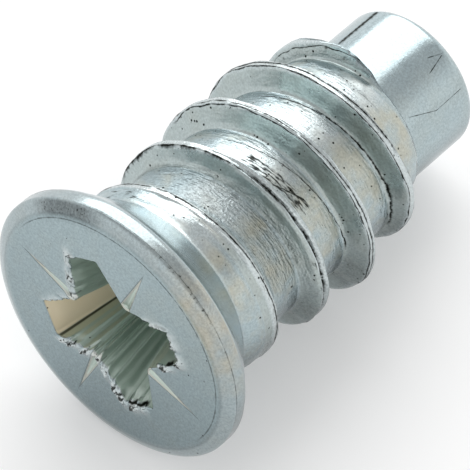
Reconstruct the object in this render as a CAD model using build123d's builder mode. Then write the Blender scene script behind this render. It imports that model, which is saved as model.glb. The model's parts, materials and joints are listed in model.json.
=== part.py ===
from build123d import *
import os
from math import atan2, ceil, cos, degrees, pi, radians, sin, tan

# Euro screw for cabinet fittings: one solid of turned and rolled steel.
# It is drawn upright, head down, with Z = 0 at the front edge of the head's rim,
# then laid on its rim and its thread, the way a loose one comes to rest.

# Head
head_diameter = 7.75
edge_round = 0.5          # width of the rounded edge between the face and the rim
face_rise = 0.22          # face stands in front of the rim by this much
rim_height = 0.36
cone_height = 1.26        # countersink from the rim to the collar

# Shank, from the head to the tip
collar_diameter = 5.4
collar_taper_length = 0.4 # collar narrows to the core over this much
core_diameter = 4.94
shoulder_diameter = 4.4   # where the rolled core meets the plain pilot
shoulder_taper_length = 1.1
shoulder_height = 9.12    # above the rim's front edge
pilot_diameter = 4.1
pilot_length = 2.52
tip_round = 0.25

# Thread, right-handed, one start
thread_diameter = 6.3
thread_pitch = 1.74
crest_width = 0.2
flank_angle = 18          # each flank leans this much from square to the axis
first_crest_height = 1.98 # above the rim's front edge
first_crest_angle = 115.8 # around the axis, from the side that lies below
first_crest_diameter = 5.64
late_diameter = 6.16      # where the run-out starts
tail_diameter = 5.42      # low ridge that the thread ends in
run_in_turns = 0.5        # from inside the head's cone to the first crest
growing_turns = 2.4       # first crest to full thread
late_turns = 0.97         # full thread to the run-out
run_out_turns = 0.16      # down to the tail
tail_turns = 0.62
end_turns = 0.2           # tail into the core
land_first = -0.12        # turn where the collar's land starts to reach up to the crest
land_last = 0.82          # last turn of the land, below the groove's floor by then
land_end = 0.87           # turn where it would have faded to nothing
land_fade_turns = 0.35
land_overlap = 0.04       # land starts this much inside the cone
crest_cover = 0.03        # crest stands this much above the land
bed_depth = 0.35          # the ridge is bedded this deep inside the pilot's radius
lengths_per_turn = 2
points_per_length = 12

# Drive recess, a cross with four tick marks between its wings
recess_angle = 61
recess_depth = 2.6
wing_reach = 2.27
wing_width = 1.04
recess_core_radius = 1.3
floor_wing_reach = 1.35
floor_wing_width = 0.7
floor_core_radius = 0.76
tick_start = 1.2
tick_end = 2.86
tick_width = 0.3
tick_depth = 0.1
tick_wall_angle = 25

head_radius = head_diameter / 2
face_radius = head_radius - edge_round
cone_end = rim_height + cone_height
core_start = cone_end + collar_taper_length
core_end = shoulder_height - shoulder_taper_length
tip_height = shoulder_height + pilot_length
bedded_radius = pilot_diameter / 2 - bed_depth
tail_start = growing_turns + late_turns + run_out_turns
last_turn = tail_start + tail_turns + end_turns
# Crest diameter at the turns where it changes its course
crest_course = [
    (-run_in_turns, core_diameter),
    (0, first_crest_diameter),
    (growing_turns, thread_diameter),
    (growing_turns + late_turns, late_diameter),
    (tail_start, tail_diameter),
    (tail_start + tail_turns, tail_diameter),
    (last_turn, core_diameter),
]


def crest_radius(turn):
    """Radius of the crest a number of turns after the first one."""
    for (start, before), (end, after) in zip(crest_course, crest_course[1:]):
        if turn <= end:
            break
    return (before + (after - before) * (turn - start) / (end - start)) / 2


def around(turn, corners):
    """Corners given as radius and height, placed where the thread is at this turn."""
    angle = radians(first_crest_angle) + 2 * pi * turn
    return [(radius * cos(angle), radius * sin(angle), height) for radius, height in corners]


def ridge_section(turn):
    """The ridge of the thread: a crest between two flanks, bedded in the core."""
    crest = crest_radius(turn)
    height = first_crest_height + thread_pitch * turn
    half_bed = crest_width / 2 + (crest - bedded_radius) * tan(radians(flank_angle))
    return around(turn, [
        (bedded_radius, height - half_bed),
        (crest, height - crest_width / 2),
        (crest, height + crest_width / 2),
        (bedded_radius, height + half_bed),
    ])


def land_section(turn):
    """The smooth land from the cone up to the first crest, which fades as the groove starts."""
    height = first_crest_height + thread_pitch * turn
    kept = min(1, (land_end - turn) / land_fade_turns)
    start = height - kept * (height - cone_end + land_overlap)
    return around(turn, [
        (bedded_radius, start),
        (bedded_radius + kept * (collar_diameter / 2 - bedded_radius), start),
        (crest_radius(turn) - crest_cover, height),
        (bedded_radius, height),
    ])


def helical_solid(section, first, last):
    """Solid swept by a four-cornered section from one turn to another, in short lengths."""
    faces = [Face(Wire.make_polygon(section(turn))) for turn in (first, last)]
    lengths = ceil((last - first) * lengths_per_turn)
    for length in range(lengths):
        turns = [
            first + (last - first) * (length + step / points_per_length) / lengths
            for step in range(points_per_length + 1)
        ]
        with BuildLine():
            edges = [Spline(*points) for points in zip(*map(section, turns))]
        for edge, next_edge in zip(edges, edges[1:] + edges[:1]):
            faces.append(Face.make_surface_from_curves(edge, next_edge))
    return Solid(Shell(faces))


def cross(reach, width, core_radius):
    """Outline of the recess: four wings with a corner between each two."""
    corners = []
    for wing in range(4):
        heading = radians(recess_angle + 90 * wing)
        for side in (-1, 1):
            across = side * width / 2
            corners.append((reach * cos(heading) - across * sin(heading),
                            reach * sin(heading) + across * cos(heading)))
        corners.append((core_radius * cos(heading + pi / 4), core_radius * sin(heading + pi / 4)))
    return corners


def tick_outline(tick):
    """A narrow triangle on the head's face, halfway between two wings."""
    heading = radians(recess_angle + 45 + 90 * tick)
    corners = ((tick_start, -tick_width / 2), (tick_end, 0), (tick_start, tick_width / 2))
    return [
        (along * cos(heading) - across * sin(heading), along * sin(heading) + across * cos(heading))
        for along, across in corners
    ]


with BuildPart() as upright:
    # Head, collar, core and pilot
    with BuildSketch(Plane.XZ):
        with BuildLine():
            Polyline((0, tip_height), (0, -face_rise), (face_radius, -face_rise))
            ThreePointArc(
                (face_radius, -face_rise),
                (face_radius + edge_round * sin(pi / 4), -face_rise * cos(pi / 4)),
                (head_radius, 0),
            )
            Polyline(
                (head_radius, 0),
                (head_radius, rim_height),
                (collar_diameter / 2, cone_end),
                (core_diameter / 2, core_start),
                (core_diameter / 2, core_end),
                (shoulder_diameter / 2, shoulder_height),
                (pilot_diameter / 2, shoulder_height),
                (pilot_diameter / 2, tip_height - tip_round),
            )
            RadiusArc(
                (pilot_diameter / 2, tip_height - tip_round),
                (pilot_diameter / 2 - tip_round, tip_height),
                -tip_round,
            )
            Line((pilot_diameter / 2 - tip_round, tip_height), (0, tip_height))
        make_face()
    revolve(axis=Axis.Z)
    # Thread, trimmed where the pilot starts
    add(helical_solid(ridge_section, -run_in_turns, last_turn))
    add(helical_solid(land_section, land_first, land_last))
    with BuildSketch(Plane.XZ):
        with BuildLine():
            Polyline(
                (pilot_diameter / 2, shoulder_height),
                (thread_diameter, shoulder_height),
                (thread_diameter, tip_height),
                (pilot_diameter / 2, tip_height),
                close=True,
            )
        make_face()
    revolve(axis=Axis.Z, mode=Mode.SUBTRACT)
    # Drive recess
    with BuildSketch(Plane.XY.offset(-face_rise)):
        with BuildLine():
            Polyline(*cross(wing_reach, wing_width, recess_core_radius), close=True)
        make_face()
    with BuildSketch(Plane.XY.offset(recess_depth - face_rise)):
        with BuildLine():
            Polyline(*cross(floor_wing_reach, floor_wing_width, floor_core_radius), close=True)
        make_face()
    loft(ruled=True, mode=Mode.SUBTRACT)
    # Tick marks, each widest next to the recess
    with BuildSketch(Plane.XY.offset(-face_rise)):
        for tick in range(4):
            with BuildLine():
                Polyline(*tick_outline(tick), close=True)
            make_face()
    extrude(amount=tick_depth, taper=tick_wall_angle, mode=Mode.SUBTRACT)

# Laid down with its thread below level with the head's rim
turns_below = [
    turn - first_crest_angle / 360
    for turn in range(ceil(first_crest_angle / 360), ceil(last_turn))
]
rest_angles = [
    atan2(
        head_radius - crest_radius(turn),
        first_crest_height + thread_pitch * turn + crest_width / 2 - rim_height,
    )
    for turn in turns_below
]
laid = Rotation(0, 90 + degrees(min(rest_angles)), 0) * upright.part
box = laid.bounding_box()
with BuildPart() as euro_screw:
    add(Pos(-box.center().X, -box.center().Y, -box.min.Z) * laid)
euro_screw.part.label = "euro_screw"

os.makedirs("parts", exist_ok=True)
export_step(euro_screw.part, "parts/euro_screw.step")
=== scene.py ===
"""Euro screw: its dressed surface and the studio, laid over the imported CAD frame."""

import json
import logging
import math
from dataclasses import dataclass, field
from enum import Enum
from functools import partial, reduce
from typing import Callable, Union

import bpy
import numpy as np
from mathutils import Matrix, Vector


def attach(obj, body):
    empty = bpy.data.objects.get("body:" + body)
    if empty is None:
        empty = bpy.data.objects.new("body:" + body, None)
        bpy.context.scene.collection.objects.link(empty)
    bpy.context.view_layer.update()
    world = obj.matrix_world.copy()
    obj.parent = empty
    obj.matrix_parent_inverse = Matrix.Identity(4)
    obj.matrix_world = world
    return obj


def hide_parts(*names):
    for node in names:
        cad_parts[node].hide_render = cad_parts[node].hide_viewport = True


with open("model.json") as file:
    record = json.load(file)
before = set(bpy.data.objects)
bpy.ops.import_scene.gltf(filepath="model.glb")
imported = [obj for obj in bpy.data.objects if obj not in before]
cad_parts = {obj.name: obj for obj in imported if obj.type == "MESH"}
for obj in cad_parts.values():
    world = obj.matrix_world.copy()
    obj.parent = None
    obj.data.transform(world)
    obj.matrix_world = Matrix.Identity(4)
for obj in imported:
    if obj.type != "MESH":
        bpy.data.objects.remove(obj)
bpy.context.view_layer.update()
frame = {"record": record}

log = logging.getLogger("euro_screw")
MM = 0.001
BURR = "burr"
# More than any radius of the screw or distance on its face, in millimetres
FAR = 9.0
Array = np.ndarray
# What a node's input takes, and what adds a node to one tree
Feed = Union[bpy.types.Node, bpy.types.NodeSocket, float]
Maker = Callable[..., bpy.types.Node]
# Two values of a pattern, and the two values that they are turned into
Ramp = tuple[float, float, float, float]


def srgb(code: str) -> tuple[float, float, float, float]:
    """Turns a colour written as sRGB hex into linear values.

    Args:
        code: Six hex digits after a hash.

    Returns:
        Red, green, blue and an alpha of one.
    """
    shares = [int(code[i:i + 2], 16) / 255 for i in (1, 3, 5)]
    linear = [s / 12.92 if s <= 0.04045 else ((s + 0.055) / 1.055) ** 2.4 for s in shares]
    return (*linear, 1.0)


def smooth_max(a: Array, b: Array, width: float) -> Array:
    """The larger of two heights, with the crease between them rounded over a width."""
    share = np.clip(0.5 + 0.5 * (a - b) / width, 0, 1)
    return b + (a - b) * share + width * share * (1 - share)


def smooth_min(a: Array, b: Array, width: float) -> Array:
    """The smaller of two heights, with the edge between them rounded over a width."""
    return -smooth_max(-a, -b, width)


def ripple(position: Array, wavelength: float, seed: float) -> Array:
    """An uneven wave of about unit height that never repeats closely.

    Args:
        position: Places along the wave, in any unit.
        wavelength: The main wavelength, in the same unit.
        seed: Shifts the wave, so that two ripples differ.

    Returns:
        The height at each place.
    """
    turn = 2 * np.pi * position / wavelength
    return (np.sin(turn + seed) + 0.6 * np.sin(1.73 * turn + 2.1 * seed)
            + 0.4 * np.sin(2.91 * turn + 3.7 * seed)) / 1.4


def window(position: Array, start: float, end: float, fade: float) -> Array:
    """One between start and end, falling to zero over the fade outside them.

    Args:
        position: Places to weigh.
        start: Where the window is fully open.
        end: Where it starts to close.
        fade: Length over which it opens and closes.

    Returns:
        A share from zero to one at each place.
    """
    rise = np.clip((position - start) / fade + 1, 0, 1)
    fall = np.clip((end - position) / fade + 1, 0, 1)
    return rise * rise * (3 - 2 * rise) * fall * fall * (3 - 2 * fall)


def add_object(name: str, data: bpy.types.ID) -> bpy.types.Object:
    """Adds an object to the scene.

    Args:
        name: Name of the object.
        data: The mesh, lamp or camera that it shows.

    Returns:
        The new object.
    """
    made = bpy.data.objects.new(name, data)
    bpy.context.scene.collection.objects.link(made)
    return made


class Layout(Enum):
    """The two layouts that the finish reads, both in millimetres apart from turns."""

    THREAD = "thread"
    SECTION = "section"


@dataclass(frozen=True)
class Rings:
    """Rings of points around the axis, all with one point per column.

    Args:
        radius: Radii in millimetres, one row for each ring.
        height: Heights above the rim's front edge, shaped as the radii are.
    """

    radius: Array
    height: Array


@dataclass(frozen=True)
class DriveRecess:
    """Cross recess with four wings, and the tick marks between them. Sizes in millimetres."""

    angle: float = 61
    depth: float = 2.6
    wing_reach: float = 2.27
    wing_width: float = 1.04
    core_radius: float = 1.3
    floor_wing_reach: float = 1.35
    floor_wing_width: float = 0.7
    floor_core_radius: float = 0.76
    corner_round: float = 0.1
    rib_height: float = 0.02
    rib_turn: float = 7.0
    rib_reach: float = 9
    rib_fade: float = 3
    rib_start: float = 0.25
    lip_round: float = 0.04
    burr_round: float = 0.17
    burr_height: float = 0.11
    burr_width: float = 0.2
    burr_turn: float = 14.0
    burr_level: float = 0.6
    burr_swing: float = 0.4
    burr_least: float = 0.15
    swell_middle: float = 0.3
    swell_width: float = 0.5
    grit_share: float = 0.5
    grit_slant: float = 30
    grit_turn: float = 13.0
    jag_turn: float = 11.0
    jag_share: float = 0.45
    tick_start: float = 1.2
    tick_end: float = 3.0
    tick_width: float = 0.34
    tick_depth: float = 0.09
    tick_slope: float = 0.35
    # Where the lip is ragged: first and last angle in degrees, and how much
    ragged_lips: tuple = ((-34, 44, 1.0), (78, 104, 0.5), (108, 142, 0.8), (216, 266, 0.9))
    ragged_fade: float = 4
    lip_rings: int = 5
    wall_rings: int = 14
    wall_end: float = 0.09
    floor_rings: int = 2

    def outline(self, angles: Array, share: float) -> Array:
        """Radius of the recess around the axis at one depth.

        Args:
            angles: Angles around the axis, in radians.
            share: Zero at the face and one at the floor.

        Returns:
            The radius at each angle.
        """
        reach = self.wing_reach + share * (self.floor_wing_reach - self.wing_reach)
        half = (self.wing_width + share * (self.floor_wing_width - self.wing_width)) / 2
        core = self.core_radius + share * (self.floor_core_radius - self.core_radius)
        core_along = core * math.cos(math.pi / 4)
        quarter = np.pi / 2
        from_wing = (angles - math.radians(self.angle) + quarter / 2) % quarter - quarter / 2
        end = reach / np.cos(from_wing)
        run, rise = reach - core_along, half - core_along
        crossing = run * half - rise * reach

        def side(turned: Array) -> Array:
            """Radius of the wall that runs from the wing's tip to the core's corner."""
            return crossing / np.maximum(run * np.sin(turned) - rise * np.cos(turned), 1e-6)

        near = side(np.abs(from_wing))
        far = side(quarter - np.abs(from_wing))
        from_corner = np.degrees(quarter / 2 - np.abs(from_wing))
        ribs = self.rib_height * np.cos(2 * np.pi * from_corner / self.rib_turn)
        ribs = ribs * window(from_corner, -1, self.rib_reach, self.rib_fade)
        walls = smooth_max(near, far, self.corner_round) + ribs * min(1, share / self.rib_start)
        return smooth_min(walls, end, self.corner_round)

    def burr(self, angles: Array) -> Array:
        """How ragged the lip is around the recess, from zero to one.

        Args:
            angles: Angles around the axis, in radians.

        Returns:
            The share at each angle.
        """
        degrees = np.degrees(angles) % 360
        ragged = np.zeros_like(degrees)
        for start, end, share in self.ragged_lips:
            for lap in (-360, 0, 360):
                ragged = np.maximum(ragged, share * window(degrees + lap, start, end,
                                                            self.ragged_fade))
        uneven = self.burr_level + self.burr_swing * ripple(degrees, self.burr_turn, 2.0)
        return ragged * uneven.clip(self.burr_least, 1)

    def lip_bulge(self, from_lip: Array, angles: Array) -> Array:
        """How far the burr stands out of the face beside the lip.

        Args:
            from_lip: Distances outside the lip.
            angles: Angles around the axis, in radians.

        Returns:
            How high the burr is at each place.
        """
        from_middle = from_lip / self.burr_width - self.swell_middle
        swell = np.exp(-((from_middle / self.swell_width) ** 2))
        slanted = np.degrees(angles) + self.grit_slant * from_lip
        grit = 1 + self.grit_share * ripple(slanted, self.grit_turn, 5.0)
        return self.burr_height * self.burr(angles) * swell * grit

    def tick_groove(self, radius: Array, angles: Array) -> Array:
        """Depth of the tick marks on the face, one mark halfway between each two wings.

        Args:
            radius: Radii of the places.
            angles: Angles around the axis, in radians.

        Returns:
            The depth at each place.
        """
        quarter = np.pi / 2
        turned = (angles - math.radians(self.angle)) % quarter - quarter / 2
        along, across = radius * np.cos(turned), np.abs(radius * np.sin(turned))
        half = self.tick_width / 2 * (self.tick_end - along) / (self.tick_end - self.tick_start)
        inside = np.clip((half - across) / (self.tick_slope * self.tick_width), 0, 1)
        return self.tick_depth * inside * (along > 0)

    def build(self, angles: Array, face_height: float) -> Rings:
        """Rings from the floor up the walls to the lip.

        Args:
            angles: The angle of each column, in radians.
            face_height: Height of the face, below zero.

        Returns:
            The rings, from the floor's middle outwards.
        """
        bend = self.lip_round + self.burr_round * self.burr(angles)
        shares = np.linspace(1, self.wall_end, self.wall_rings + 1)
        walls = [self.outline(angles, share) - bend for share in shares]
        heights = [np.full_like(angles, face_height + share * self.depth) for share in shares]
        lip, bulge = self.outline(angles, 0), self.lip_bulge(0 * angles, angles)
        jag = self.jag_share * bend * ripple(np.degrees(angles), self.jag_turn, 1.0)
        jag = jag * (bend > 2 * self.lip_round)
        for turned in np.radians(np.linspace(90, 0, self.lip_rings)):
            walls.append(lip - jag - bend * np.sin(turned))
            heights.append(face_height - bulge + bend * (1 - np.cos(turned)))
        floor = [walls[0] * (ring + 1) / (self.floor_rings + 1) for ring in range(self.floor_rings)]
        flat = [heights[0]] * self.floor_rings
        return Rings(np.array(floor + walls), np.array(flat + heights))


@dataclass(frozen=True)
class Head:
    """Countersunk head: face, rounded edge and rim. Sizes in millimetres."""

    diameter: float = 7.75
    edge_round: float = 0.5
    edge_flatness: float = 1.4
    face_rise: float = 0.22
    rim_height: float = 0.36
    cone_height: float = 1.26
    face_rings: int = 30
    face_crowding: float = 1.35
    edge_rings: int = 9
    recess: DriveRecess = field(default_factory=DriveRecess)

    @property
    def radius(self) -> float:
        """Radius of the rim."""
        return self.diameter / 2

    def build(self, angles: Array) -> Rings:
        """Rings from the recess's lip out over the face and its edge to the back of the rim.

        Args:
            angles: Angles around the axis, in radians.

        Returns:
            The rings, from the lip outwards.
        """
        lip = self.recess.outline(angles, 0)
        face_radius = self.radius - self.edge_round
        radii, heights = [], []
        for share in np.linspace(0, 1, self.face_rings + 1)[1:] ** self.face_crowding:
            ring = lip + share * (face_radius - lip)
            bulge = self.recess.lip_bulge(ring - lip, angles)
            radii.append(ring)
            heights.append(-self.face_rise + self.recess.tick_groove(ring, angles) - bulge)
        for bend in np.linspace(0, np.pi / 2, self.edge_rings + 1)[1:]:
            out, back = math.sin(bend) ** self.edge_flatness, math.cos(bend) ** self.edge_flatness
            radii.append(np.full_like(angles, face_radius + self.edge_round * out))
            heights.append(np.full_like(angles, -self.face_rise * back))
        return Rings(np.array(radii), np.array(heights))


@dataclass(frozen=True)
class Thread:
    """Coarse right-hand thread. Sizes in millimetres, places in turns after the first crest."""

    diameter: float = 6.3
    pitch: float = 1.74
    crest_width: float = 0.2
    flank_angle: float = 18
    first_height: float = 1.98
    first_angle: float = 115.8
    first_diameter: float = 5.64
    late_diameter: float = 6.16
    tail_diameter: float = 5.42
    run_in_turns: float = 0.5
    growing_turns: float = 2.4
    late_turns: float = 0.97
    run_out_turns: float = 0.16
    tail_turns: float = 0.62
    end_turns: float = 0.2
    land_first: float = -0.12
    land_end: float = 0.87
    land_fade_turns: float = 0.35
    land_swell: float = 3.0
    crest_cover: float = 0.03
    crest_round: float = 0.07
    root_round: float = 0.2
    crest_wander: float = 0.024
    rise_turns: float = 0.13
    sway_turns: float = 0.09
    seam_depth: float = 0.02
    seam_width: float = 0.03
    split_first: float = 1.22
    split_last: float = 1.5
    split_depth: float = 0.1
    split_width: float = 0.055
    split_spread: float = 0.13
    split_fade: float = 0.07
    # The ridge dives into the core within this many turns of its ends
    dive_turns: float = 0.1

    def turn_at(self, angles: Array) -> Array:
        """Turns around the axis from the first crest's angle."""
        return (angles - math.radians(self.first_angle)) / (2 * np.pi)

    def unwind(self, angles: Array, height: Array) -> tuple[Array, Array]:
        """Place on the thread: the turn of the nearest crest and the distance above it.

        Args:
            angles: Angles around the axis, in radians.
            height: Heights above the rim's front edge.

        Returns:
            The turn and the distance at each place.
        """
        around = self.turn_at(angles)
        climb = (height - self.first_height) / self.pitch - around
        nearest = np.round(climb)
        return around + nearest, (climb - nearest) * self.pitch

    def crest_radius(self, turn: Array, core: float) -> Array:
        """Radius of the crest along its course, and well inside the core beyond its ends.

        Args:
            turn: Turns after the first crest.
            core: Radius of the core.

        Returns:
            The radius at each turn.
        """
        late = self.growing_turns + self.late_turns
        tail = late + self.run_out_turns
        end = tail + self.tail_turns + self.end_turns
        course = [
            (-self.run_in_turns - self.dive_turns, 2 * core - self.diameter),
            (-self.run_in_turns, 2 * core),
            (0, self.first_diameter),
            (self.growing_turns, self.diameter),
            (late, self.late_diameter),
            (tail, self.tail_diameter),
            (tail + self.tail_turns, self.tail_diameter),
            (end, 2 * core),
            (end + self.dive_turns, 2 * core - self.diameter),
        ]
        turns, diameters = zip(*course)
        return np.interp(turn, turns, diameters) / 2

    def ridge(self, turn: Array, away: Array, core: float) -> Array:
        """Radius of the ridge: a rounded crest between two straight flanks.

        Args:
            turn: Turns after the first crest.
            away: Distances above the nearest crest.
            core: Radius of the core.

        Returns:
            The radius at each place.
        """
        rise = self.crest_wander * ripple(turn, self.rise_turns, 1.0) / 2
        crest = self.crest_radius(turn, core) + rise
        away = away + self.crest_wander * ripple(turn, self.sway_turns, 4.0) / 2
        split = window(turn, self.split_first, self.split_last, self.split_fade)
        half = (self.crest_width + self.split_spread * split) / 2
        flank = crest - (np.abs(away) - half) / math.tan(math.radians(self.flank_angle))
        groove = self.split_depth * split * np.exp(-((away / self.split_width) ** 2))
        groove = groove + self.seam_depth * (1 - split) * np.exp(-((away / self.seam_width) ** 2))
        return smooth_min(crest - groove, flank, self.crest_round)

    def land(self, angles: Array, height: Array, cone_end: float,
             collar: float, core: float) -> Array:
        """Radius of the smooth land that joins the collar to the first crest.

        Args:
            angles: The angle of each point, in radians.
            height: The height of each point.
            cone_end: Height where the cone meets the collar.
            collar: Radius of the collar.
            core: Radius of the core.

        Returns:
            The land's radius at each point, below zero where there is no land.
        """
        radius = np.full_like(height, -1.0)
        for lap in (-1, 0, 1):
            turn = self.turn_at(angles) + lap
            crest_height = self.first_height + self.pitch * turn
            kept = np.clip((self.land_end - turn) / self.land_fade_turns, 0, 1)
            crest = self.crest_radius(turn, core) - self.crest_cover
            start = crest_height - kept * (crest_height - cone_end)
            low = core + kept * (collar - core)
            share = np.clip((height - start) / np.maximum(crest_height - start, 1e-6), 0, 1)
            line = low + (1 - (1 - share) ** self.land_swell) * (crest - low)
            here = (turn > self.land_first) & (turn < self.land_end) & (height <= crest_height)
            radius = np.where(here, np.maximum(radius, line), radius)
        return radius


@dataclass(frozen=True)
class Shank:
    """Cone, collar, rolled core with its thread, and the plain pilot. Sizes in millimetres."""

    collar_diameter: float = 5.4
    collar_taper_length: float = 0.4
    core_diameter: float = 4.94
    shoulder_diameter: float = 4.4
    shoulder_taper_length: float = 1.1
    shoulder_height: float = 9.12
    pilot_diameter: float = 4.1
    pilot_length: float = 2.52
    tip_round: float = 0.25
    blend: float = 0.14
    edge_blend: float = 0.03
    land_blend: float = 0.05
    wave_depth: float = 0.006
    waves_start: float = 2.4
    waves_fade: float = 0.5
    streak_share: float = 0.6
    streak_height: float = 0.19
    streak_sway: float = 0.03
    streak_turns: float = 0.11
    lump_share: float = 0.8
    lump_height: float = 0.5
    lump_turns: float = 0.045
    cone_rows: int = 6
    pilot_rows: int = 16
    tip_rows: int = 8
    rim_rows: int = 3
    # Places of the first rows of the rim, cone and pilot, and of the rings on the tip
    rim_start: float = 0.03
    cone_gap: float = 0.04
    shoulder_step: float = 0.02
    shoulder_gap: float = 0.1
    tip_shares: tuple[float, ...] = (0.8, 0.5, 0.2)
    # Enough turns of the thread to cover the shank at any angle
    turns_covered: tuple[int, int] = (-2, 8)
    # Level rows cover this share of the cone, and rows of the thread keep this clear of them
    level_share: float = 0.55
    clear: float = 0.025
    thread: Thread = field(default_factory=Thread)
    head: Head = field(default_factory=Head)

    # Rows beside each crest, as distances from it: close together on the crest and its edges
    row_places = (0.0, 0.02, 0.04, 0.065, 0.09, 0.115, 0.145, 0.2, 0.26, 0.305, 0.345, 0.39,
                  0.45, 0.53, 0.63, 0.73, 0.83)

    @property
    def tip_height(self) -> float:
        """Height of the tip above the rim's front edge."""
        return self.shoulder_height + self.pilot_length

    def turned_radius(self, height: Array) -> Array:
        """Radius of the turned body under the thread, from the rim to the shoulder.

        Args:
            height: Heights above the rim's front edge.

        Returns:
            The radius at each height.
        """
        cone_start = self.head.rim_height
        cone_end = cone_start + self.head.cone_height
        slope = (self.head.radius - self.collar_diameter / 2) / self.head.cone_height
        cone = self.head.radius - (height - cone_start) * slope
        body = np.interp(
            height,
            [cone_end, cone_end + self.collar_taper_length,
             self.shoulder_height - self.shoulder_taper_length, self.shoulder_height],
            np.array([self.collar_diameter, self.core_diameter,
                      self.core_diameter, self.shoulder_diameter]) / 2,
        )
        rim = np.full_like(height, self.head.radius)
        return smooth_min(rim, smooth_max(cone, body, self.blend), self.edge_blend)

    def radius(self, angles: Array, height: Array) -> Array:
        """Radius of the whole shank at any angle and height up to the shoulder.

        Args:
            angles: Angles around the axis, in radians.
            height: Heights above the rim's front edge.

        Returns:
            The radius at each place.
        """
        core = self.core_diameter / 2
        turn, away = self.thread.unwind(angles, height)
        body = self.turned_radius(height)
        ridge = self.thread.ridge(turn, away, core)
        land = self.thread.land(angles, height, self.head.rim_height + self.head.cone_height,
                                self.collar_diameter / 2, core)
        rolled = smooth_max(body, ridge, self.thread.root_round)
        rolled = smooth_max(rolled, land, self.land_blend)
        return rolled + self.unevenness(turn, away, height)

    def unevenness(self, turn: Array, away: Array, height: Array) -> Array:
        """Shallow waves that rolling leaves in the grooves, running along the thread.

        Args:
            turn: Turns after the first crest.
            away: Distances above the nearest crest.
            height: Heights above the rim's front edge.

        Returns:
            What the waves add to the radius.
        """
        swayed = away + self.streak_sway * ripple(turn, self.streak_turns, 2.0)
        streaks = self.streak_share * ripple(swayed, self.streak_height, 0.7)
        lumps = ripple(turn, self.lump_turns, 3.0) * ripple(away, self.lump_height, 5.0)
        waves_end = self.shoulder_height - self.shoulder_gap
        rolled = window(height, self.waves_start, waves_end, self.waves_fade)
        return rolled * self.wave_depth * (streaks + self.lump_share * lumps)

    def column_heights(self, angle: float) -> Array:
        """Heights of one column's points: level rows at both ends, thread rows between.

        Args:
            angle: The column's angle, in radians.

        Returns:
            The heights in order.
        """
        pitch = self.thread.pitch
        level_end = self.head.rim_height + self.level_share * self.head.cone_height
        level = np.linspace(self.head.rim_height - self.cone_gap, level_end, self.cone_rows)
        rim = np.linspace(self.rim_start, level[0], self.rim_rows, endpoint=False)
        level = np.concatenate([rim, level])
        places = np.array(self.row_places)
        beside = np.unique(np.concatenate([-places, places]))
        turn = (angle - math.radians(self.thread.first_angle)) / (2 * math.pi)
        laps = np.arange(*self.turns_covered) + turn
        rows = (self.thread.first_height + pitch * laps[:, None] + beside[None, :]).ravel()
        rows = rows[(rows > level_end + self.clear) & (rows < self.shoulder_height - self.clear)]
        return np.concatenate([level, rows, [self.shoulder_height]])

    def pilot(self, angles: Array) -> Rings:
        """Rings from the shoulder up the pilot, round its edge and over the tip.

        Args:
            angles: Angles around the axis, in radians.

        Returns:
            The rings, from the shoulder to the tip's middle.
        """
        radius = self.pilot_diameter / 2
        profile = [(radius, self.shoulder_height + self.shoulder_step)]
        straight_end = self.tip_height - self.tip_round
        straight_start = self.shoulder_height + self.shoulder_gap
        straight = np.linspace(straight_start, straight_end, self.pilot_rows)
        profile += [(radius, height) for height in straight]
        for bend in np.linspace(0, np.pi / 2, self.tip_rows)[1:]:
            profile.append((radius - self.tip_round * (1 - math.cos(bend)),
                            straight_end + self.tip_round * math.sin(bend)))
        inner = radius - self.tip_round
        profile += [(inner * share, self.tip_height) for share in self.tip_shares]
        ones = np.ones_like(angles)
        return Rings(np.array([r * ones for r, _ in profile]),
                     np.array([h * ones for _, h in profile]))


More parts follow.
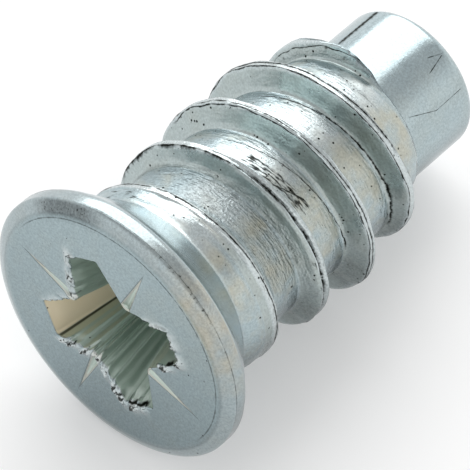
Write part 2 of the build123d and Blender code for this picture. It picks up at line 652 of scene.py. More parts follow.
@dataclass
class EuroScrew:
    """The whole screw as one closed surface that stands for the CAD solid."""

    node: str = "euro_screw"
    columns: int = 360
    seam_angle: float = -28
    same_row: float = 0.012
    shank: Shank = field(default_factory=Shank)

    def placement(self) -> Matrix:
        """Where the upright screw lies in the frame, read from the pilot's mount.

        Returns:
            Matrix from the upright screw, in millimetres, to the frame.
        """
        mount = next(m for m in frame["record"]["mounts"] if m["name"] == "pilot")
        along = Vector(mount["axis"]).normalized()
        across = Vector((0, 1, 0))
        below = across.cross(along)
        straight = self.shank.pilot_length - self.shank.tip_round
        middle = (self.shank.shoulder_height + straight / 2) * MM
        origin = Vector(mount["pos_m"]) - along * middle
        turned = Matrix((below, across, along)).transposed().to_4x4()
        return Matrix.Translation(origin) @ turned @ Matrix.Scale(MM, 4)

    def build(self) -> bpy.types.Object:
        """Builds the mesh, column by column from the recess's floor to the tip.

        Returns:
            The new object, in the frame's place and replacing the CAD node.
        """
        angles = np.radians(self.seam_angle + 360 * np.arange(self.columns) / self.columns)
        columns, lead = self._columns(angles)
        faces, wraps = self._stitch(columns, lead)
        thread, head = self.shank.thread, self.shank.head
        ends = (head.recess.depth - head.face_rise, self.shank.tip_height)
        radius = np.concatenate([column[0] for column in columns] + [(0, 0)])
        height = np.concatenate([column[1] for column in columns] + [ends])
        around = [np.full(len(column[0]), angle) for column, angle in zip(columns, angles)]
        around = np.concatenate(around + [np.full(2, math.radians(thread.first_angle))])
        points = np.column_stack([radius * np.cos(around), radius * np.sin(around), height])
        mesh = bpy.data.meshes.new(f"{self.node}_surface")
        mesh.from_pydata(points.tolist(), [], faces)
        turn = thread.turn_at(around)
        climb = height - thread.first_height - thread.pitch * turn
        self._lay_out(mesh, turn, climb, np.column_stack([radius, height]), faces, wraps)
        from_lip = np.hypot(radius - head.recess.outline(around, 0),
                            np.maximum(height + head.face_rise, 0))
        burr = head.recess.burr(around) * np.exp(-((from_lip / head.recess.burr_width) ** 2))
        worn = mesh.attributes.new(BURR, "FLOAT", "POINT")
        worn.data.foreach_set("value", burr.astype(np.float32))
        mesh.transform(self.placement())
        mesh.shade_smooth()
        piece = add_object(f"{self.node}_surface", mesh)
        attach(piece, "root")
        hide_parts(self.node)
        return piece

    def _columns(self, angles: Array) -> tuple[list, int]:
        """Works out the points of each column.

        Args:
            angles: The angle of each column, in radians.

        Returns:
            Radii and heights of each column's points, and how many lie before the shank.
        """
        head = self.shank.head
        inner = [head.recess.build(angles, -head.face_rise), head.build(angles)]
        outer = self.shank.pilot(angles)
        columns = []
        for index, angle in enumerate(angles):
            rows = self.shank.column_heights(angle)
            radius = self.shank.radius(np.full_like(rows, angle), rows)
            radii = [rings.radius[:, index] for rings in inner]
            heights = [rings.height[:, index] for rings in inner]
            columns.append((np.concatenate(radii + [radius, outer.radius[:, index]]),
                            np.concatenate(heights + [rows, outer.height[:, index]])))
        return columns, sum(len(rings.radius) for rings in inner)

    def _stitch(self, columns: list, lead: int) -> tuple[list, list]:
        """Joins each column to the next, row to row where their heights agree, and caps the ends.

        Args:
            columns: Radii and heights of each column's points.
            lead: How many points of each column lie before the shank.

        Returns:
            The faces, and which corners of each lie past the seam.
        """
        starts = np.concatenate([[0], np.cumsum([len(c[0]) for c in columns])]).tolist()
        faces, wraps, caps, cap_wraps = [], [], [], []
        floor, tip = starts[-1], starts[-1] + 1
        for index in range(self.columns):
            following = (index + 1) % self.columns
            wrap = int(following == 0)
            here, there = columns[index][1].tolist(), columns[following][1].tolist()
            a, b = starts[index], starts[following]
            i = j = 0
            while i < len(here) - 1 or j < len(there) - 1:
                left = here[i + 1] if i < len(here) - 1 else math.inf
                right = there[j + 1] if j < len(there) - 1 else math.inf
                level = i < lead or abs(left - right) < self.same_row
                up_here, up_there = level or left < right, level or right <= left
                faces.append([a + i, b + j] + [b + j + 1] * up_there + [a + i + 1] * up_here)
                wraps.append([0, wrap] + [wrap] * up_there + [0] * up_here)
                i, j = i + up_here, j + up_there
            caps += [[a, floor, b], [a + i, b + j, tip]]
            cap_wraps += [[0, 0, wrap], [0, wrap, 0]]
        return faces + caps, wraps + cap_wraps

    def _lay_out(self, mesh: bpy.types.Mesh, turn: Array, climb: Array,
                 section: Array, faces: list, wraps: list) -> None:
        """Gives each corner its place along the thread, and its radius and height.

        Args:
            mesh: The mesh that gets the layouts.
            turn: Turns of each point around the axis.
            climb: Height of each point above the crest's course at that turn.
            section: Radius and height of each point.
            faces: The points of each face.
            wraps: Which corners of each face lie past the seam.
        """
        corners = np.concatenate([np.array(face) for face in faces])
        past = np.concatenate([np.array(wrap, float) for wrap in wraps])
        place = np.column_stack([turn[corners] + past,
                                 climb[corners] - past * self.shank.thread.pitch])
        for layout, values in ((Layout.THREAD, place), (Layout.SECTION, section[corners])):
            layer = mesh.uv_layers.new(name=layout.value)
            layer.data.foreach_set("uv", values.astype(np.float32).ravel())


def add_node(tree: bpy.types.NodeTree, kind: str, *inputs: object,
             **settings: object) -> bpy.types.Node:
    """Adds a node, sets it and fills its inputs in order.

    Args:
        tree: The tree that the node goes into.
        kind: The node's type, without ShaderNode, or in capitals what a Math node works out.
        inputs: A value, a socket, a node whose first output is meant, or None to skip an input.
        settings: The node's own settings.

    Returns:
        The new node.
    """
    if kind.isupper():
        kind, settings["operation"] = "Math", kind
    node = tree.nodes.new("ShaderNode" + kind)
    for name, value in settings.items():
        setattr(node, name, value)
    for socket, value in zip(node.inputs, inputs):
        source = value.outputs[0] if isinstance(value, bpy.types.Node) else value
        if isinstance(source, bpy.types.NodeSocket):
            tree.links.new(source, socket)
        elif source is not None:
            socket.default_value = source
    return node


@dataclass(frozen=True)
class Zone:
    """A stretch of one coordinate, and the fade that lies outside both its ends."""

    start: float
    end: float
    fade: float


@dataclass(frozen=True)
class Box:
    """A patch of the surface, between two ends of each of two coordinates."""

    across: Zone
    up: Zone


@dataclass(frozen=True)
class Line:
    """A dark hairline between two places, each given along it and across it."""

    first: float
    last: float
    first_place: float
    last_place: float
    half_width: float
    wander: float = 0.0


@dataclass(frozen=True)
class Stain:
    """A patch of ragged black flecks, between two ends across and two ends up."""

    first: float
    last: float
    low: float
    high: float
    amount: float


@dataclass(frozen=True)
class Places:
    """Outputs that tell a pattern where it is on the screw, in turns, degrees, millimetres."""

    turn: Feed
    away: Feed
    angle: Feed
    radius: Feed
    height: Feed
    along_thread: Feed
    solid: Feed
    burr: Feed


@dataclass(frozen=True)
class Ground:
    """Lines of one kind, the coordinates they follow and the zone of a third where they show.

    Its unit is how many millimetres one unit across is.
    """

    lines: tuple[Line, ...]
    along: Feed
    across: Feed
    fade: float
    guard: Feed
    guarded: Zone
    thick: Feed
    strength: float = 1.0
    unit: float = 1.0


@dataclass(frozen=True)
class Parts:
    """Where each part of the screw is: one on the part, zero off it."""

    skin: Feed
    outer: Feed
    groove: Feed
    crest: Feed
    flank: Feed
    land: Feed
    front: Feed
    margin: Feed
    hollow: Feed
    end_wall: Feed
    worked: Feed


@dataclass(frozen=True)
class ZincPlating:
    """Bright zinc plated on cold-formed, rolled steel: a satin mirror with a cold cast.

    The eye sees blurred reflections, straw-coloured patches where the chromate is
    thicker, hairline laps on the crests and black pits in the grooves. Zones are in
    millimetres along the screw or beside a crest, in turns, or in degrees around.
    """

    cold: str = "#A7B6BA"
    warm: str = "#BDB8A4"
    pale: str = "#CDD4D4"
    filled: str = "#BAB9AD"
    soot: str = "#1E211C"
    recess: str = "#BCC9C1"
    recess_end: str = "#EFE3CA"
    # Partly the face's own duller plating, partly painted shade that darkens the whole face
    face_tone_and_painted_shade: tuple[float, float, float, float] = (0.76, 0.785, 0.79, 1.0)
    flank_tone: tuple[float, float, float, float] = (1.06, 1.01, 0.96, 1.0)
    margin_tone: tuple[float, float, float, float] = (0.91, 0.88, 0.87, 1.0)
    straw_elsewhere: float = 0.18
    crest_share: float = 0.7
    # How far the painted highlight turns the metal pale
    painted_highlight_share: float = 0.6
    seam_share: float = 0.85
    tick_edge_share: float = 0.4
    edge_share: float = 0.6
    gap_thickness: float = 1.5
    burr_stain: float = 0.6
    burr_shine: float = 1.1
    facing_lean: float = 0.24
    worked_dimming: float = -0.12
    # How much the painted shade darkens the underside
    painted_underside_darkening: float = -0.38
    # How much the painted dark reflection darkens the head's edge
    painted_reflection_darkening: float = -0.5
    # One cell in about 170 has a pit wherever it is
    rare_pit: float = 0.994
    rare_pit_size: float = 0.12
    pit_sharpness: float = 9.0
    relief_depth: float = 0.02
    rolled_streaks: float = 0.8
    worked_streaks: float = 2.2
    plain_grain: float = 0.08
    rolled_grain: float = 0.2
    worked_grain: float = 1.0

    # How much rougher than the plain metal each part is
    dark_roughness: float = 0.5
    worked_roughness: float = 0.14
    hollow_roughness: float = 0.25
    flank_roughness: float = 0.12
    groove_roughness: float = 0.08
    end_wall_roughness: float = 0.25

    # Ramps from a pattern or a place to a share, a brightness or a thickness
    straw_ramp: Ramp = (0.48, 0.85, 0.0, 0.65)
    grain_ramp: Ramp = (0.3, 0.7, 0.85, 1.11)
    rough_ramp: Ramp = (0.35, 0.7, 0.15, 0.25)
    uneven_ramp: Ramp = (0.3, 0.7, 0.75, 1.3)
    fading_ramp: Ramp = (0.38, 0.5, 0.65, 1.15)
    fleck_ramp: Ramp = (0.88, 1.04, 0.0, 0.9)
    crowd_ramp: Ramp = (0.42, 0.7, 0.0, 0.36)
    pit_ramp: Ramp = (0.86, 1.2, 0.0, 0.34)
    tick_ramp: Ramp = (0.0, 0.02, 0.0, 0.75)
    groove_ramp: Ramp = (0.36, 0.5, 0.0, 1.0)
    recess_ramp: Ramp = (2.36, 2.3, 0.0, 1.0)
    pilot_ramp: Ramp = (1.6, 1.95, 0.0, 1.0)
    # Painted shade on the face: height above the floor to how much of the face's colour is kept
    painted_face_shade_ramp: Ramp = (0.5 * MM, 6.5 * MM, 0.84, 1.08)

    # Feature sizes of the patterns
    patch_size: float = 0.6
    grain_size: float = 0.06
    fleck_size: float = 0.09
    speck_size: float = 0.11
    wander_size: tuple[float, float, float] = (0.3, 9.0, 1.0)
    torn_size: tuple[float, float, float] = (0.26, 0.06, 1.0)
    streak_size: tuple[float, float, float] = (0.4, 0.07, 1.0)
    # Brings the swing of the wandering pattern to about one
    waver_gain: float = 4

    # The screw it lies on. Inside the skin's radius lies the recess, and beyond the margin's
    # the edge of the head
    shank: Shank = field(default_factory=Shank)
    turn_length: float = 15.5
    skin_radius: float = 2.34
    margin_radius: float = 3.3

    # Zones along the screw, beside a crest and around it
    grooves: Zone = Zone(1.7, 9.0, 0.2)
    pitted: Zone = Zone(1.8, 9.1, 0.1)
    rolled: Zone = Zone(2.2, 9.0, 0.4)
    face: Zone = Zone(-1.0, -0.19, 0.02)
    margin: Zone = Zone(-0.19, 0.37, 0.02)
    warm_margin: Zone = Zone(-0.2, 0.4, 0.02)
    hollow: Zone = Zone(-0.17, 2.5, 0.03)
    tick_front: Zone = Zone(-0.5, -0.02, 0.01)
    tick_edge: Zone = Zone(-0.004, 0.004, 0.014)
    lip: Zone = Zone(-0.5, 0.05, 0.03)
    front_edge: Zone = Zone(-0.4, 0.1, 0.01)
    pilot: Zone = Zone(1.9, FAR, 0.02)
    facing: Zone = Zone(216, 244, 24)
    # Painted highlight on the grooves and the land, in degrees around
    painted_highlight_angles: Zone = Zone(177, 200, 13)
    # Painted shade on the underside of the shank, in degrees around
    painted_underside_shade: Zone = Zone(283, 305, 22)
    crest: Box = Box(Zone(-1, 0.09, 0.05), Zone(2.1, 9.0, 0.1))
    flank: Box = Box(Zone(0.14, 0.36, 0.03), Zone(2.2, 9.0, 0.1))
    land: Box = Box(Zone(0.05, 0.4, 0.05), Zone(-0.78, -0.08, 0.04))
    # Painted dark reflection on the head's rounded edge, by angle and height
    painted_dark_reflection: Box = Box(Zone(142, 160, 12), Zone(-0.185, -0.06, 0.04))
    end_wall: Box = Box(Zone(48, 75, 1.0), Zone(-0.3, 2.3, 0.05))
    end_seam: Zone = Zone(46.4, 47.1, 0.5)
    worked: tuple[Box, ...] = (
        Box(Zone(0.95, 1.36, 0.06), Zone(-0.88, -0.3, 0.06)),
        Box(Zone(-0.05, 0.36, 0.06), Zone(0.12, 0.88, 0.06)),
        Box(Zone(3.9, 4.4, 0.06), Zone(-0.8, -0.2, 0.06)),
    )

    # Lines: laps by turn and distance from the crest, scratches and a painted dark reflection on
    # the pilot by height and angle, gaps under folded lips by angle and radius, the head's edges by
    # angle and place
    laps: tuple[Line, ...] = (
        Line(0.0, 0.46, 0.06, 0.03, 0.026, 0.012),
        Line(0.96, 1.26, -0.1, -0.08, 0.036, 0.012),
        Line(1.22, 1.52, 0.0, 0.0, 0.05, 0.02),
        Line(1.97, 2.5, -0.06, 0.0, 0.036, 0.012),
        Line(1.97, 2.2, 0.1, 0.1, 0.014, 0.012),
        Line(2.13, 2.41, -0.74, -0.33, 0.018, 0.03),
        Line(2.97, 3.3, 0.02, 0.05, 0.03, 0.012),
        Line(3.1, 3.5, 0.1, 0.1, 0.022, 0.012),
        Line(2.96, 3.48, -0.1, -0.09, 0.013, 0.006),
        Line(2.0, 2.48, -0.12, -0.1, 0.01, 0.006),
        Line(3.1, 3.22, -0.56, -0.39, 0.022, 0.03),
        Line(3.2, 3.46, -0.39, -0.24, 0.028, 0.02),
        Line(3.97, 4.32, -0.02, 0.03, 0.016, 0.012),
        Line(4.02, 4.3, 0.12, 0.16, 0.016, 0.02),
        Line(3.98, 4.32, -0.15, -0.12, 0.006, 0.005),
        Line(1.24, 1.29, 0.5, 0.86, 0.035, 0.03),
    )
    scratches_and_dark_reflection: tuple[Line, ...] = (
        # Painted dark reflection: a soft dark band along the whole pilot, not a scratch
        Line(9.9, 11.42, 143.0, 143.4, 0.1),
        Line(10.95, 11.35, 204, 208, 0.018),
        Line(10.7, 11.3, 213, 209, 0.02),
        Line(9.42, 10.3, 228, 238, 0.011),
        Line(10.3, 11.26, 238, 237.5, 0.011),
    )
    gaps: tuple[Line, ...] = (
        Line(324.0, 334.0, 2.2, 2.18, 0.036),
        Line(-30.0, -20.0, 2.18, 2.18, 0.036),
        Line(253.5, 261.5, 2.21, 1.8, 0.036),
    )
    rim_lines: tuple[Line, ...] = (Line(166, 266, 0.02, 0.02, 0.022),)
    face_lines: tuple[Line, ...] = (Line(126, 290, 3.41, 3.41, 0.024),)
    # Stains on the thread by turn and distance from the crest, on the head by angle and height
    thread_stains: tuple[Stain, ...] = (
        Stain(1.18, 1.3, 0.5, 0.84, 0.44),
        Stain(1.22, 1.5, -0.2, 0.2, 0.26),
        Stain(1.0, 1.36, -0.86, -0.42, 0.27),
        Stain(0.1, 0.5, -0.05, 0.2, 0.22),
        Stain(3.02, 3.4, -0.03, 0.16, 0.24),
        Stain(4.0, 4.34, -0.2, 0.25, 0.26),
        Stain(3.12, 3.42, -0.75, -0.3, 0.24),
        Stain(2.12, 2.45, 0.3, 0.8, 0.22),
        Stain(0.05, 0.12, -0.45, -0.15, 0.34),
    )
    head_stains: tuple[Stain, ...] = (
        Stain(136, 164, -0.19, -0.08, 0.3),
        Stain(192, 232, -0.03, 0.05, 0.34),
        Stain(238, 262, -0.01, 0.05, 0.28),
    )

    def dress(self, piece: bpy.types.Object) -> None:
        """Makes the material and puts it on the piece.

        Args:
            piece: The object that gets it.
        """
        material = bpy.data.materials.new("zinc_plated_steel")
        material.use_nodes = True
        tree = material.node_tree
        make = partial(add_node, tree)
        places = self._places(make)
        cloud = self._clouds(make, places.solid, (self.patch_size * MM,) * 3, 3.0)
        fine = self._clouds(make, places.solid, (self.grain_size * MM,) * 3, 2.0)
        parts = self._parts(make, places)
        dark = self._darkness(make, places, parts, cloud)
        colour = self._colour(make, places, parts, self._metal(make, places, parts, cloud, fine))
        seam = self._band(make, places.angle, self.end_seam, self.seam_share)
        seam = make("MULTIPLY", parts.hollow, seam)
        black = make("MAXIMUM", dark, seam)
        sources = {
            "Base Color": make("MixRGB", black, colour, srgb(self.soot)),
            "Roughness": self._roughness(make, parts, cloud, dark),
            "Normal": self._relief(make, places, parts, fine),
        }
        shader = tree.nodes["Principled BSDF"]
        shader.inputs["Metallic"].default_value = 1.0
        for name, source in sources.items():
            tree.links.new(source.outputs[0], shader.inputs[name])
        piece.data.materials.append(material)

    def _places(self, make: Maker) -> Places:
        """Reads the layouts and unwinds the thread.

        Args:
            make: Adds a node to the tree.

        Returns:
            The coordinates of each place.
        """
        thread = self.shank.thread
        wound, cut = (make("SeparateXYZ", make("UVMap", uv_map=name.value)) for name in Layout)
        around, climb = wound.outputs[0], wound.outputs[1]
        laps = make("DIVIDE", climb, thread.pitch)
        lap = make("ROUND", laps)
        turn = make("ADD", around, lap)
        away = make("MULTIPLY_ADD", lap, -thread.pitch, climb)
        run = make("MULTIPLY", turn, self.turn_length)
        angle = make("MULTIPLY_ADD", around, 360.0, thread.first_angle)
        return Places(turn, away, angle, cut.outputs[0], cut.outputs[1],
                      make("CombineXYZ", run, away), make("TexCoord").outputs["Object"],
                      make("Attribute", attribute_name=BURR).outputs["Fac"])

    def _parts(self, make: Maker, places: Places) -> Parts:
        """Tells the parts of the screw apart by their places.

        Args:
            make: Adds a node to the tree.
            places: Where on the screw it is.

        Returns:
            A mask for each part.
        """
        beside = make("ABSOLUTE", places.away)
        deep = make("MapRange", beside, *self.groove_ramp)
        worked = [self._box(make, places.turn, places.away, box) for box in self.worked]
        inside = make("MapRange", places.radius, *self.recess_ramp)
        skin, outer = (make("GREATER_THAN", places.radius, least)
                       for least in (self.skin_radius, self.margin_radius))
        grooves, hollow, front, margin = (
            self._band(make, places.height, zone)
            for zone in (self.grooves, self.hollow, self.face, self.margin))
        return Parts(
            skin=skin,
            outer=outer,
            groove=make("MULTIPLY", grooves, deep),
            crest=self._box(make, beside, places.height, self.crest),
            flank=self._box(make, beside, places.height, self.flank),
            land=self._box(make, places.turn, places.away, self.land),
            front=front,
            margin=margin,
            hollow=make("MULTIPLY", inside, hollow),
            end_wall=self._box(make, places.angle, places.height, self.end_wall),
            worked=make("MULTIPLY", self._highest(make, worked), skin),
        )

    def _clouds(self, make: Maker, place: Feed, size: tuple[float, float, float],
                detail: float) -> bpy.types.Node:
        """Cloudy pattern with features of a real size along each axis of a layout.

        Args:
            make: Adds a node to the tree.
            place: Layout that the pattern lies on.
            size: Feature size along each axis.
            detail: How much finer detail it has.

        Returns:
            The pattern.
        """
        scale = tuple(1 / s for s in size)
        stretched = make("VectorMath", place, scale, operation="MULTIPLY")
        return make("TexNoise", stretched, None, 1.0, detail)

    def _band(self, make: Maker, value: Feed, zone: Zone, peak: float = 1.0) -> bpy.types.Node:
        """At its peak where the value is in the zone, zero beyond its fade.

        Args:
            make: Adds a node to the tree.
            value: The coordinate.
            zone: Where on it the band lies.
            peak: Value inside the band.

        Returns:
            The value on and off the band.
        """
        rise = make("MapRange", value, zone.start - zone.fade, zone.start, 0.0, peak)
        fall = make("MapRange", value, zone.end, zone.end + zone.fade, 1.0, 0.0)
        return make("MULTIPLY", rise, fall)

    def _box(self, make: Maker, across: Feed, up: Feed, box: Box,
             peak: float = 1.0) -> bpy.types.Node:
        """At its peak inside a box on the surface, zero beyond its fades."""
        return make("MULTIPLY", self._band(make, across, box.across, peak),
                    self._band(make, up, box.up))

    def _highest(self, make: Maker, values: list[Feed]) -> Feed:
        """The highest of several values."""
        return reduce(lambda a, b: make("MAXIMUM", a, b), values)

    def _darkness(self, make: Maker, places: Places, parts: Parts, cloud: Feed) -> Feed:
        """Lines, stains and pits: zero on clean metal, one where it is black.

        Args:
            make: Adds a node to the tree.
            places: Where on the screw it is.
            parts: Which part of the screw it is on.
            cloud: Clouds as large as the straw patches.

        Returns:
            How dark each place is.
        """
        wander = self._clouds(make, places.along_thread, self.wander_size, 3.0)
        fleck = self._clouds(make, places.solid, (self.fleck_size * MM,) * 3, 2.0)
        torn = self._clouds(make, places.along_thread, self.torn_size, 2.0)
        uneven = make("MapRange", fleck, *self.uneven_ramp)
        fading = make("MapRange", wander, *self.fading_ramp)
        thick = make("MULTIPLY", uneven, fading)
        return self._highest(make, [
            *self._lines(make, places, wander, thick),
            *self._stains(make, places, parts, torn, fleck),
            self._pits(make, places, cloud),
            self._band(make, self._tick(make, places), self.tick_edge, self.tick_edge_share),
        ])

    def _lines(self, make: Maker, places: Places, wander: Feed, thick: Feed) -> list[Feed]:
        """Laps along the thread, scratches and a painted dark reflection band on the pilot, gaps
        under folded lips and the head's edges.

        Args:
            make: Adds a node to the tree.
            places: Where on the screw it is.
            wander: Clouds stretched along the thread.
            thick: Pattern that makes lines uneven.

        Returns:
            How dark each line is.
        """
        arc = self.shank.pilot_diameter / 2 * math.pi / 180
        turn, away, angle = places.turn, places.away, places.angle
        radius, height = places.radius, places.height
        skin = Zone(self.skin_radius, FAR, 0.02)
        outer = Zone(self.margin_radius, FAR, 0.001)
        grounds = (
            Ground(self.laps, turn, away, 0.02, radius, skin, thick),
            Ground(self.scratches_and_dark_reflection, height, angle, 0.05, radius, self.pilot, thick, unit=arc),
            Ground(self.gaps, angle, radius, 1.5, height, self.lip, self.gap_thickness),
            Ground(self.rim_lines, angle, height, 12, radius, outer, thick, self.edge_share),
            Ground(self.face_lines, angle, radius, 12, height, self.front_edge, thick,
                   self.edge_share),
        )
        waver = make("SUBTRACT", wander, 0.5)
        lines = []
        for ground in grounds:
            guarded = self._band(make, ground.guard, ground.guarded, ground.strength)
            for line in ground.lines:
                course = make("MapRange", ground.along, line.first, line.last,
                              line.first_place, line.last_place)
                beside = make("SUBTRACT", ground.across, course)
                if line.wander:
                    wander_by = self.waver_gain * line.wander
                    beside = make("MULTIPLY_ADD", waver, wander_by, beside)
                distance = make("ABSOLUTE", beside)
                share = make("DIVIDE", distance, line.half_width / ground.unit)
                shown = make("SUBTRACT", ground.thick, share, use_clamp=True)
                reach = self._band(make, ground.along, Zone(line.first, line.last, ground.fade))
                kept = make("MULTIPLY", reach, guarded)
                lines.append(make("MULTIPLY", shown, kept))
        return lines

    def _stains(self, make: Maker, places: Places, parts: Parts, torn: Feed,
                fleck: Feed) -> list[Feed]:
        """Ragged black flecks in the stains, and on the burred lips of the recess.

        Args:
            make: Adds a node to the tree.
            places: Where on the screw it is.
            parts: Which part of the screw it is on.
            torn: Ragged pattern along the thread.
            fleck: Ragged pattern of flecks.

        Returns:
            How dark the stains of each kind are.
        """
        worn = make("MULTIPLY", places.burr, self.burr_stain)
        flecks = []
        for stains, across, up, fades, shell, pattern, patches in (
                (self.thread_stains, places.turn, places.away, (0.03, 0.06), parts.skin, torn, []),
                (self.head_stains, places.angle, places.height, (6, 0.03), parts.outer, fleck,
                 [worn])):
            for stain in stains:
                box = Box(Zone(stain.first, stain.last, fades[0]),
                          Zone(stain.low, stain.high, fades[1]))
                inside = self._box(make, across, up, box, stain.amount)
                patches.append(make("MULTIPLY", inside, shell))
            reached = make("ADD", self._highest(make, patches), pattern)
            flecks.append(make("MapRange", reached, *self.fleck_ramp))
        return flecks

    def _pits(self, make: Maker, places: Places, cloud: Feed) -> bpy.types.Node:
        """Round black pits, crowded where the clouds are in the grooves and rare elsewhere.

        Args:
            make: Adds a node to the tree.
            places: Where on the screw it is.
            cloud: Clouds as large as the straw patches.

        Returns:
            How dark the pits are.
        """
        cells = make("VectorMath", places.solid, (1 / (self.speck_size * MM),) * 3,
                     operation="MULTIPLY")
        specks = make("TexVoronoi", cells, None, 1.0)
        chance = make("SeparateXYZ", specks.outputs["Color"])
        crowd = make("MapRange", cloud, *self.crowd_ramp)
        pitted = self._band(make, places.height, self.pitted)
        likely = make("MULTIPLY_ADD", crowd, pitted, chance)
        rare = make("GREATER_THAN", chance, self.rare_pit)
        likely = make("MULTIPLY_ADD", rare, self.rare_pit_size, likely)
        size = make("MapRange", likely, *self.pit_ramp)
        pit = make("SUBTRACT", size, specks.outputs["Distance"], use_clamp=True)
        return make("MULTIPLY", pit, self.pit_sharpness, use_clamp=True)

    def _tick(self, make: Maker, places: Places) -> bpy.types.Node:
        """How far inside a tick mark a place is, in millimetres, below zero outside it.

        Args:
            make: Adds a node to the tree.
            places: Where on the screw it is.

        Returns:
            The distance.
        """
        recess = self.shank.head.recess
        shifted = make("SUBTRACT", places.angle, recess.angle + 45)
        turned = make("WRAP", shifted, 45.0, -45.0)
        turned = make("ABSOLUTE", turned)
        arc = make("MULTIPLY", turned, math.pi / 180)
        across = make("MULTIPLY", arc, places.radius)
        half = make("MapRange", places.radius, recess.tick_start, recess.tick_end,
                    recess.tick_width / 2, 0.0, clamp=False)
        inside = make("SUBTRACT", half, across)
        front = self._band(make, places.height, self.tick_front)
        elsewhere = make("SUBTRACT", inside, FAR)
        return make("MULTIPLY_ADD", front, FAR, elsewhere)

    def _metal(self, make: Maker, places: Places, parts: Parts, cloud: Feed,
               fine: Feed) -> bpy.types.Node:
        """Cold metal with straw patches and pale crests, a painted highlight on the grooves and
        land along the lit side, painted shade on the underside and a painted dark reflection on the
        head's edge.

        Args:
            make: Adds a node to the tree.
            places: Where on the screw it is.
            parts: Which part of the screw it is on.
            cloud: Clouds as large as the straw patches.
            fine: Grainy clouds.

        Returns:
            Its colour.
        """
        facing = self._band(make, places.angle, self.facing)
        leaning = make("MULTIPLY_ADD", facing, self.facing_lean, cloud)
        straw = make("MapRange", leaning, *self.straw_ramp)
        edge = self._band(make, places.height, self.warm_margin)
        edge = make("MULTIPLY", facing, edge)
        kept = self._highest(make, [parts.groove, edge, self.straw_elsewhere])
        straw = make("MULTIPLY", straw, kept)
        # Painted highlight: the grooves and land turn pale along the side where the lamp's
        # reflection lies
        painted_highlight = self._highest(make, [parts.groove, parts.land])
        painted_highlight = make("MULTIPLY", painted_highlight, self._band(make, places.angle, self.painted_highlight_angles))
        base = make("MixRGB", straw, srgb(self.cold), srgb(self.warm))
        for part, share in ((parts.crest, self.crest_share), (painted_highlight, self.painted_highlight_share)):
            laid = make("MULTIPLY", part, share)
            base = make("MixRGB", laid, base, srgb(self.pale))
        base = make("MixRGB", parts.flank, base, self.flank_tone, blend_type="MULTIPLY")
        # Painted shade: the underside of the shank, behind the head, is darkened by colour
        skin = make("MapRange", places.radius, *self.pilot_ramp)
        behind = make("GREATER_THAN", places.height, 0.0)
        behind = make("MULTIPLY", skin, behind)
        painted_underside_shade = make("MULTIPLY", self._band(make, places.angle, self.painted_underside_shade), behind)
        # Painted dark reflection: a soft darker patch on the head's rounded edge
        painted_dark_reflection = self._box(make, places.angle, places.height, self.painted_dark_reflection)
        painted_dark_reflection = make("MULTIPLY", painted_dark_reflection, parts.outer)
        value = make("MapRange", fine, *self.grain_ramp)
        for part, change in ((parts.worked, self.worked_dimming), (painted_underside_shade, self.painted_underside_darkening),
                             (painted_dark_reflection, self.painted_reflection_darkening)):
            value = make("MULTIPLY_ADD", part, change, value)
        return make("VectorMath", base, value, operation="MULTIPLY")

    def _colour(self, make: Maker, places: Places, parts: Parts,
                metal: Feed) -> bpy.types.Node:
        """The metal with its face toned darker, partly as painted shade, and with painted shade
        that darkens the face further towards the floor; its filled tick marks, its burrs and its
        recess.

        Args:
            make: Adds a node to the tree.
            places: Where on the screw it is.
            parts: Which part of the screw it is on.
            metal: Colour of the plain metal.

        Returns:
            The colour of clean places.
        """
        # Painted shade: the face's colour is darkened towards the floor, by height above it
        rise = make("SeparateXYZ", places.solid).outputs[2]
        painted_face_shade = make("MapRange", rise, *self.painted_face_shade_ramp)
        face_under_painted_shade = make("VectorMath", metal, painted_face_shade, operation="MULTIPLY")
        colour = make("MixRGB", parts.front, metal, face_under_painted_shade)
        # The face's tone is partly its own plating and partly painted shade over the whole face
        for part, tone in ((parts.front, self.face_tone_and_painted_shade), (parts.margin, self.margin_tone)):
            colour = make("MixRGB", part, colour, tone, blend_type="MULTIPLY")
        tick = make("MapRange", self._tick(make, places), *self.tick_ramp)
        worn = make("MULTIPLY", places.burr, self.burr_shine, use_clamp=True)
        walls = make("MixRGB", parts.end_wall, srgb(self.recess), srgb(self.recess_end))
        for part, above in ((tick, srgb(self.filled)), (worn, srgb(self.pale)),
                            (parts.hollow, walls)):
            colour = make("MixRGB", part, colour, above)
        return colour

    def _roughness(self, make: Maker, parts: Parts, cloud: Feed, dark: Feed) -> bpy.types.Node:
        """Satin in patches, duller where it is dark, worked or deep in the recess.

        Args:
            make: Adds a node to the tree.
            parts: Which part of the screw it is on.
            cloud: Clouds as large as the straw patches.
            dark: How dark each place is.

        Returns:
            The roughness.
        """
        rough = make("MapRange", cloud, *self.rough_ramp)
        end_wall = make("MULTIPLY", parts.hollow, parts.end_wall)
        for part, more in ((dark, self.dark_roughness),
                           (parts.worked, self.worked_roughness),
                           (parts.hollow, self.hollow_roughness),
                           (parts.flank, self.flank_roughness),
                           (parts.groove, self.groove_roughness),
                           (end_wall, self.end_wall_roughness)):
            rough = make("MULTIPLY_ADD", part, more, rough)
        return rough

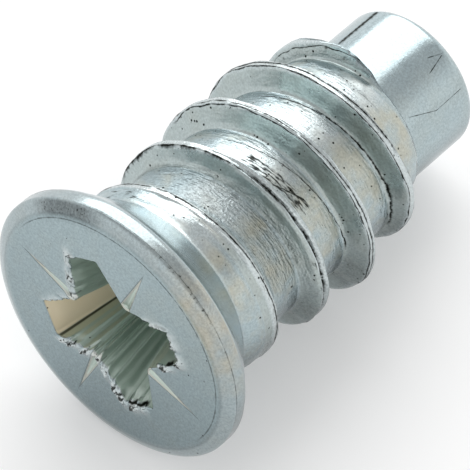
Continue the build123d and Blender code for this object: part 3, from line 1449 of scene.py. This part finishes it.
    def _relief(self, make: Maker, places: Places, parts: Parts, fine: Feed) -> bpy.types.Node:
        """Fine relief: rolling streaks in the grooves, strongest where worked, and grain.

        Args:
            make: Adds a node to the tree.
            places: Where on the screw it is.
            parts: Which part of the screw it is on.
            fine: Grainy clouds.

        Returns:
            The surface direction for the shader.
        """
        streaks = self._clouds(make, places.along_thread, self.streak_size, 3.0)
        rolled = make("MULTIPLY", self._band(make, places.height, self.rolled), parts.skin)
        strength = make("MULTIPLY", rolled, self.rolled_streaks)
        strength = make("MULTIPLY_ADD", parts.worked, self.worked_streaks, strength)
        ridged = make("MULTIPLY", streaks, strength)
        grain = make("MULTIPLY_ADD", rolled, self.rolled_grain, self.plain_grain)
        coarse = make("MULTIPLY_ADD", parts.worked, self.worked_grain, grain)
        summed = make("MULTIPLY_ADD", fine, coarse, ridged)
        return make("Bump", 1.0, self.relief_depth * MM, None, summed)


@dataclass(frozen=True)
class Panel:
    """A large soft lamp. Its brightness is what a mirror shows, where one is white."""

    name: str
    azimuth: float
    elevation: float
    width: float
    height: float
    roll: float
    brightness: float
    distance: float = 0.2

    def build(self, target: Vector) -> None:
        """Hangs the lamp in its direction from the target, facing it.

        Args:
            target: The point that it faces.
        """
        lamp = bpy.data.lights.new(self.name, "AREA")
        lamp.shape = "RECTANGLE"
        lamp.size, lamp.size_y = self.width, self.height
        lamp.energy = self.brightness * math.pi * self.width * self.height
        rig = add_object(self.name, lamp)
        towards = direction(self.azimuth, self.elevation)
        rig.location = target + towards * self.distance
        facing = towards.to_track_quat("Z", "Y").to_matrix().to_4x4()
        spin = Matrix.Rotation(math.radians(self.roll), 4, "Z")
        rig.matrix_world = Matrix.Translation(rig.location) @ facing @ spin


def direction(azimuth: float, elevation: float) -> Vector:
    """Unit vector towards a compass azimuth, where 0 is the side that faces -Y."""
    a, e = math.radians(azimuth), math.radians(elevation)
    return Vector((math.sin(a) * math.cos(e), -math.cos(a) * math.cos(e), math.sin(e)))


@dataclass(frozen=True)
class Studio:
    """Pale floor, light tent, one large lamp and the camera. Sizes in metres."""

    azimuth: float = -49.386
    elevation: float = 55.282
    distance: float = 0.116
    focal_length: float = 360.85
    aim: tuple[float, float, float] = (-0.0022733, -0.0010297, 0.0052719)
    floor_size: float = 2.0
    floor_colour: str = "#FCFCFC"
    floor_glow: float = 0.2
    low_sky: float = 1.15
    high_sky: float = 0.7
    low_rise: float = 0.3
    high_rise: float = 0.62
    key: Panel = Panel("key", azimuth=132, elevation=38, width=0.22, height=0.215, roll=34,
                       brightness=2.1)

    def build(self) -> None:
        """Builds everything that isn't the screw."""
        self._camera()
        self._floor()
        self._sky()
        self.key.build(Vector(self.aim))

    def _camera(self) -> None:
        """Puts the camera at the photograph's angle, level and without shift."""
        lens = bpy.data.cameras.new("camera")
        lens.lens = self.focal_length
        lens.clip_start = 0.001
        camera = add_object("camera", lens)
        towards = direction(self.azimuth, self.elevation)
        camera.location = Vector(self.aim) + towards * self.distance
        camera.rotation_euler = towards.to_track_quat("Z", "Y").to_euler()
        bpy.context.scene.camera = camera

    def _floor(self) -> None:
        """Lays a matt pale floor under the screw."""
        half = self.floor_size / 2
        mesh = bpy.data.meshes.new("floor")
        corners = [(-half, -half, 0), (half, -half, 0), (half, half, 0), (-half, half, 0)]
        mesh.from_pydata(corners, [], [(0, 1, 2, 3)])
        material = bpy.data.materials.new("matt_paper")
        material.use_nodes = True
        shader = material.node_tree.nodes["Principled BSDF"]
        shader.inputs["Base Color"].default_value = srgb(self.floor_colour)
        shader.inputs["Roughness"].default_value = 1.0
        shader.inputs["Specular IOR Level"].default_value = 0.0
        tree = material.node_tree
        rays = add_node(tree, "LightPath").outputs
        seen = rays["Is Camera Ray"]
        for kind in ("Is Glossy Ray", "Is Transmission Ray"):
            seen = add_node(tree, "MAXIMUM", seen, rays[kind])
        share = add_node(tree, "MULTIPLY", seen, self.floor_glow)
        mixed = add_node(tree, "MixShader", share, shader, add_node(tree, "Emission"))
        tree.links.new(mixed.outputs[0], tree.nodes["Material Output"].inputs["Surface"])
        mesh.materials.append(material)
        add_object("floor", mesh)

    def _sky(self) -> None:
        """Fills the tent with even light."""
        world = bpy.data.worlds.new("tent")
        world.use_nodes = True
        tree = world.node_tree
        towards = add_node(tree, "TexCoord").outputs["Generated"]
        parts = add_node(tree, "SeparateXYZ", towards)
        fade = add_node(tree, "MapRange", parts.outputs[2], self.low_rise, self.high_rise,
                        self.low_sky, self.high_sky)
        tree.links.new(fade.outputs[0], tree.nodes["Background"].inputs["Strength"])
        tree.nodes["Background"].inputs["Color"].default_value = (1, 1, 1, 1)
        bpy.context.scene.world = world


def main() -> None:
    """Builds the screw and its studio and reports each piece."""
    logging.basicConfig(level=logging.INFO, format="%(message)s")
    screw = EuroScrew()
    piece = screw.build()
    ZincPlating(shank=screw.shank).dress(piece)
    piece.data.calc_loop_triangles()
    log.info("%s: %d triangles", piece.name, len(piece.data.loop_triangles))
    Studio().build()
    bpy.context.scene.view_settings.view_transform = "Standard"


if __name__ == "__main__":
    main()
